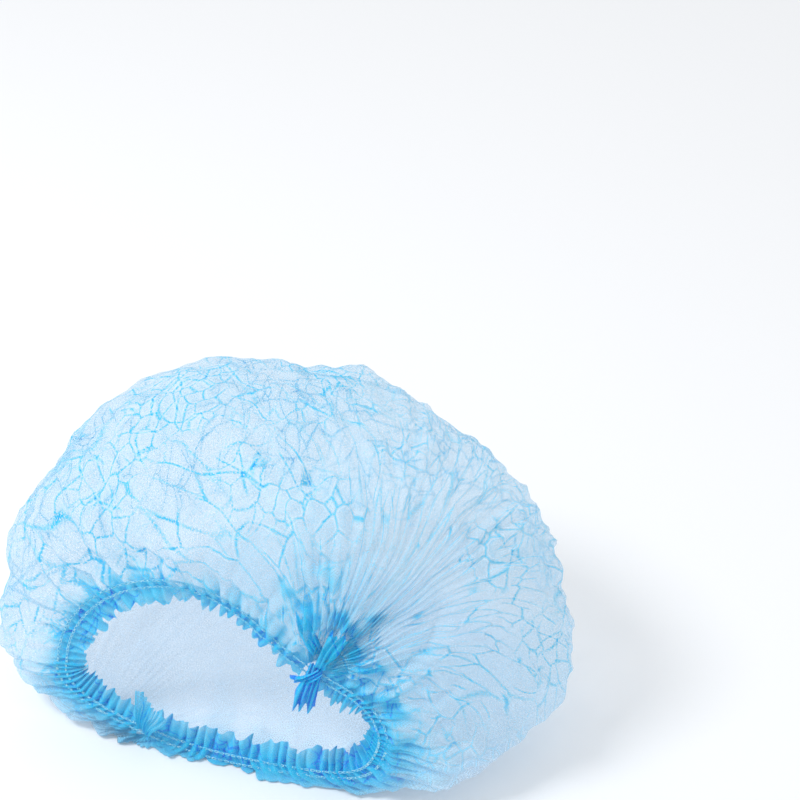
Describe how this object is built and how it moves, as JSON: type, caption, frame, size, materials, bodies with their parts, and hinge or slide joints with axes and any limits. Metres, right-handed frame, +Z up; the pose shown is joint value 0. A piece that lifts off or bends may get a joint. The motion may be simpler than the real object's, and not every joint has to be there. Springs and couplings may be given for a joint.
{
  "type": "disposable hairnet",
  "caption": "Disposable hairnet: a light gathered bag of thin nonwoven cloth, drawn in by a doubled elastic round its mouth and bunched at two ends, lying opened on a flat surface.",
  "frame": {"origin": "centre of the bounding box in X and Y, at the surface that the cap rests on", "axes": "+Z up, +X to the right along the mouth, -Y the way the mouth looks"},
  "size_m": [0.2696, 0.2162, 0.1632],
  "materials": {
    "crown_cloth": "thin see-through light blue spunbond nonwoven, bluer where it gathers",
    "bunched_cloth": "the same nonwoven in many layers, saturated blue",
    "elastic_thread": "pale covered elastic thread with chain stitches"
  },
  "bodies": {
    "root": {"crown": "crown_cloth", "elastic_inner": "elastic_thread", "elastic_outer": "elastic_thread", "end_bunch_right": "bunched_cloth", "end_bunch_left": "bunched_cloth"}
  },
  "joints": []
}
